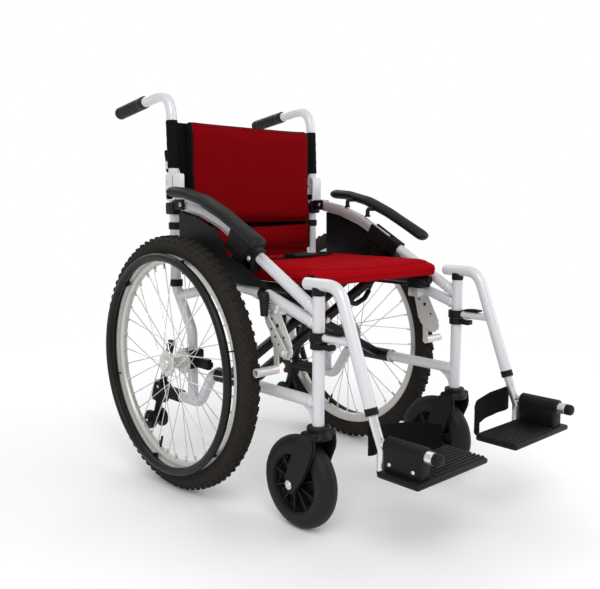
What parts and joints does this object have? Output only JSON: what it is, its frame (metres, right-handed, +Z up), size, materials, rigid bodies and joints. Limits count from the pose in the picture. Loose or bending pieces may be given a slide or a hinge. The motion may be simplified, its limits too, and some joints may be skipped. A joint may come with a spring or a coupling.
{
  "type": "manual wheelchair",
  "caption": "Folding manual wheelchair with large spoked rear wheels, front castors, swing-away legrests with footplates, flip-up armrests and a fold-down back.",
  "frame": {"origin": "on the floor under the middle of the chair's overall box", "axes": "+X towards the sitter's left, -Y the way the sitter faces, +Z up; the floor is z = 0"},
  "size_m": [0.69, 1.0848, 0.9611],
  "materials": {
    "frame_paint": "pearl white, satin",
    "black_paint": "gloss black",
    "silver_tube": "silver, satin",
    "zinc_steel": "zinc plated",
    "rim_alloy": "satin",
    "moulding": "black, fine grain",
    "tyre": "matt",
    "soft_rubber": "matt",
    "upholstery": "woven",
    "strap": "woven"
  },
  "bodies": {
    "frame_right": {"side_frame_right": "frame_paint", "axle_carrier_right": "moulding", "brake_bracket_right": "zinc_steel", "seat_saddles_right": "moulding", "armrest_socket_right": "moulding", "anti_tipper_right": "moulding", "back_pad_lower": "upholstery"},
    "frame_left": {"side_frame_left": "frame_paint", "axle_carrier_left": "moulding", "brake_bracket_left": "zinc_steel", "seat_saddles_left": "moulding", "armrest_socket_left": "moulding", "anti_tipper_left": "moulding"},
    "brace_a": {"brace_a": "black_paint", "brace_pin": "zinc_steel"},
    "brace_b": {"brace_b": "black_paint"},
    "seat": {"seat_cushion": "upholstery"},
    "wheel_right": {"tyre_right": "tyre", "rim_right": "rim_alloy", "spoked_hub_right": "rim_alloy", "handrim_right": "black_paint"},
    "fork_right": {"castor_fork_right": "moulding"},
    "castor_right": {"castor_wheel_right": "soft_rubber"},
    "hanger_right": {"hanger_right": "frame_paint"},
    "hanger_latch_right": {"hanger_latch_right": "moulding"},
    "footrest_right": {"footrest_tube_right": "silver_tube", "heel_strap_right": "strap"},
    "footplate_right": {"footplate_right": "moulding"},
    "brake_lever_right": {"brake_lever_right": "zinc_steel"},
    "brake_shoe_right": {"brake_shoe_right": "zinc_steel"},
    "armrest_right": {"armrest_tube_right": "silver_tube", "armrest_pad_right": "soft_rubber", "skirt_guard_right": "moulding"},
    "armrest_button_right": {"armrest_button_right": "silver_tube"},
    "back_right": {"back_post_right": "frame_paint", "push_grip_right": "soft_rubber", "back_pad_upper": "upholstery"},
    "back_release_right": {"back_release_lever_right": "moulding"},
    "rollers_right": {"anti_tip_rollers_right": "soft_rubber"},
    "wheel_left": {"tyre_left": "tyre", "rim_left": "rim_alloy", "spoked_hub_left": "rim_alloy", "handrim_left": "black_paint"},
    "fork_left": {"castor_fork_left": "moulding"},
    "castor_left": {"castor_wheel_left": "soft_rubber"},
    "hanger_left": {"hanger_left": "frame_paint"},
    "hanger_latch_left": {"hanger_latch_left": "moulding"},
    "footrest_left": {"footrest_tube_left": "silver_tube", "heel_strap_left": "strap"},
    "footplate_left": {"footplate_left": "moulding"},
    "brake_lever_left": {"brake_lever_left": "zinc_steel"},
    "brake_shoe_left": {"brake_shoe_left": "zinc_steel"},
    "armrest_left": {"armrest_tube_left": "silver_tube", "armrest_pad_left": "soft_rubber", "skirt_guard_left": "moulding"},
    "armrest_button_left": {"armrest_button_left": "silver_tube"},
    "back_left": {"back_post_left": "frame_paint", "push_grip_left": "soft_rubber"},
    "back_release_left": {"back_release_lever_left": "moulding"},
    "rollers_left": {"anti_tip_rollers_left": "soft_rubber"}
  },
  "joints": [
    {"name": "frame_fold", "type": "hinge", "parent": "frame_right", "child": "brace_a", "pos_m": [-0.235, 0.0425, 0.28], "axis": [0, -1, 0], "range_deg": [0, 42], "deforming": ["seat_cushion", "back_pad_upper", "back_pad_lower", "heel_strap_right", "heel_strap_left"]},
    {"name": "brace_cross", "type": "hinge", "parent": "brace_a", "child": "brace_b", "pos_m": [0, 0.0425, 0.40082], "axis": [0, -1, 0], "range_deg": [-84, 0]},
    {"name": "frame_left_upright", "type": "hinge", "parent": "brace_b", "child": "frame_left", "pos_m": [0.235, 0.0425, 0.28], "axis": [0, -1, 0], "range_deg": [0, 42]},
    {"name": "seat_level", "type": "hinge", "parent": "brace_b", "child": "seat", "pos_m": [-0.19, 0.0425, 0.4985], "axis": [0, -1, 0], "range_deg": [0, 42]},
    {"name": "wheel_spin_right", "type": "hinge", "parent": "frame_right", "child": "wheel_right", "pos_m": [-0.3, 0.1925, 0.305], "axis": [1, 0, 0], "continuous": true},
    {"name": "castor_swivel_right", "type": "hinge", "parent": "frame_right", "child": "fork_right", "pos_m": [-0.235, -0.2335, 0.2325], "axis": [0, 0, 1], "continuous": true},
    {"name": "castor_spin_right", "type": "hinge", "parent": "fork_right", "child": "castor_right", "pos_m": [-0.235, -0.181, 0.1], "axis": [1, 0, 0], "continuous": true},
    {"name": "hanger_swing_right", "type": "hinge", "parent": "frame_right", "child": "hanger_right", "pos_m": [-0.235, -0.2335, 0.5], "axis": [0, 0, -1], "range_deg": [0, 90]},
    {"name": "hanger_latch_right", "type": "hinge", "parent": "hanger_right", "child": "hanger_latch_right", "pos_m": [-0.235, -0.2585, 0.4295], "axis": [-1, 0, 0], "range_deg": [0, 15], "stiffness_Nm_per_rad": 0.3, "springref_deg": -11.46},
    {"name": "footrest_slide_right", "type": "slide", "parent": "hanger_right", "child": "footrest_right", "axis": [0, -0.3544, -0.9351], "range_m": [0, 0.06]},
    {"name": "footplate_flip_right", "type": "hinge", "parent": "footrest_right", "child": "footplate_right", "pos_m": [-0.235, -0.4645, 0.238], "axis": [0, -1, 0], "range_deg": [0, 88.2], "deforming": ["heel_strap_right"]},
    {"name": "brake_lever_right", "type": "hinge", "parent": "frame_right", "child": "brake_lever_right", "pos_m": [-0.235, -0.1525, 0.375], "axis": [1, 0, 0], "range_deg": [0, 38]},
    {"name": "brake_shoe_right", "type": "hinge", "parent": "frame_right", "child": "brake_shoe_right", "pos_m": [-0.235, -0.1235, 0.392], "axis": [1, 0, 0], "range_deg": [0, 3.8]},
    {"name": "armrest_flip_right", "type": "hinge", "parent": "frame_right", "child": "armrest_right", "pos_m": [-0.235, 0.2375, 0.68], "axis": [-1, 0, 0], "range_deg": [0, 88]},
    {"name": "armrest_button_right", "type": "slide", "parent": "frame_right", "child": "armrest_button_right", "axis": [1, 0, 0], "range_m": [0, 0.003], "stiffness_N_per_m": 500, "springref_m": -0.002},
    {"name": "back_release_right", "type": "hinge", "parent": "back_right", "child": "back_release_right", "pos_m": [-0.235, 0.3005, 0.777], "axis": [-1, 0, 0], "range_deg": [0, 8], "stiffness_Nm_per_rad": 0.5, "springref_deg": -11.46},
    {"name": "anti_tip_spin_right", "type": "hinge", "parent": "frame_right", "child": "rollers_right", "pos_m": [-0.235, 0.3905, 0.112], "axis": [1, 0, 0], "continuous": true},
    {"name": "wheel_spin_left", "type": "hinge", "parent": "frame_left", "child": "wheel_left", "pos_m": [0.3, 0.1925, 0.305], "axis": [1, 0, 0], "continuous": true},
    {"name": "castor_swivel_left", "type": "hinge", "parent": "frame_left", "child": "fork_left", "pos_m": [0.235, -0.2335, 0.2325], "axis": [0, 0, 1], "continuous": true},
    {"name": "castor_spin_left", "type": "hinge", "parent": "fork_left", "child": "castor_left", "pos_m": [0.235, -0.181, 0.1], "axis": [1, 0, 0], "continuous": true},
    {"name": "hanger_swing_left", "type": "hinge", "parent": "frame_left", "child": "hanger_left", "pos_m": [0.235, -0.2335, 0.5], "axis": [0, 0, 1], "range_deg": [0, 90]},
    {"name": "hanger_latch_left", "type": "hinge", "parent": "hanger_left", "child": "hanger_latch_left", "pos_m": [0.235, -0.2585, 0.4295], "axis": [-1, 0, 0], "range_deg": [0, 15], "stiffness_Nm_per_rad": 0.3, "springref_deg": -11.46},
    {"name": "footrest_slide_left", "type": "slide", "parent": "hanger_left", "child": "footrest_left", "axis": [0, -0.3544, -0.9351], "range_m": [0, 0.06]},
    {"name": "footplate_flip_left", "type": "hinge", "parent": "footrest_left", "child": "footplate_left", "pos_m": [0.235, -0.4645, 0.238], "axis": [0, 1, 0], "range_deg": [0, 88.2], "deforming": ["heel_strap_left"]},
    {"name": "brake_lever_left", "type": "hinge", "parent": "frame_left", "child": "brake_lever_left", "pos_m": [0.235, -0.1525, 0.375], "axis": [1, 0, 0], "range_deg": [0, 38]},
    {"name": "brake_shoe_left", "type": "hinge", "parent": "frame_left", "child": "brake_shoe_left", "pos_m": [0.235, -0.1235, 0.392], "axis": [1, 0, 0], "range_deg": [0, 3.8]},
    {"name": "armrest_flip_left", "type": "hinge", "parent": "frame_left", "child": "armrest_left", "pos_m": [0.235, 0.2375, 0.68], "axis": [-1, 0, 0], "range_deg": [0, 88]},
    {"name": "armrest_button_left", "type": "slide", "parent": "frame_left", "child": "armrest_button_left", "axis": [-1, 0, 0], "range_m": [0, 0.003], "stiffness_N_per_m": 500, "springref_m": -0.002},
    {"name": "back_release_left", "type": "hinge", "parent": "back_left", "child": "back_release_left", "pos_m": [0.235, 0.3005, 0.777], "axis": [-1, 0, 0], "range_deg": [0, 8], "stiffness_Nm_per_rad": 0.5, "springref_deg": -11.46},
    {"name": "anti_tip_spin_left", "type": "hinge", "parent": "frame_left", "child": "rollers_left", "pos_m": [0.235, 0.3905, 0.112], "axis": [1, 0, 0], "continuous": true},
    {"name": "back_fold_right", "type": "hinge", "parent": "frame_right", "child": "back_right", "pos_m": [-0.235, 0.2815, 0.735], "axis": [-1, 0, 0], "range_deg": [0, 90]},
    {"name": "back_fold_left", "type": "hinge", "parent": "frame_left", "child": "back_left", "pos_m": [0.235, 0.2815, 0.735], "axis": [-1, 0, 0], "range_deg": [0, 90]}
  ],
  "couplings": [
    {"joint": "brace_cross", "follows": "frame_fold", "ratio": -2},
    {"joint": "frame_left_upright", "follows": "frame_fold", "ratio": 1},
    {"joint": "seat_level", "follows": "frame_fold", "ratio": 1},
    {"joint": "footplate_flip_right", "follows": "frame_fold", "ratio": 2.1},
    {"joint": "brake_shoe_right", "follows": "brake_lever_right", "ratio": 0.1},
    {"joint": "footplate_flip_left", "follows": "frame_fold", "ratio": 2.1},
    {"joint": "brake_shoe_left", "follows": "brake_lever_left", "ratio": 0.1},
    {"joint": "back_fold_left", "follows": "back_fold_right", "ratio": 1}
  ]
}
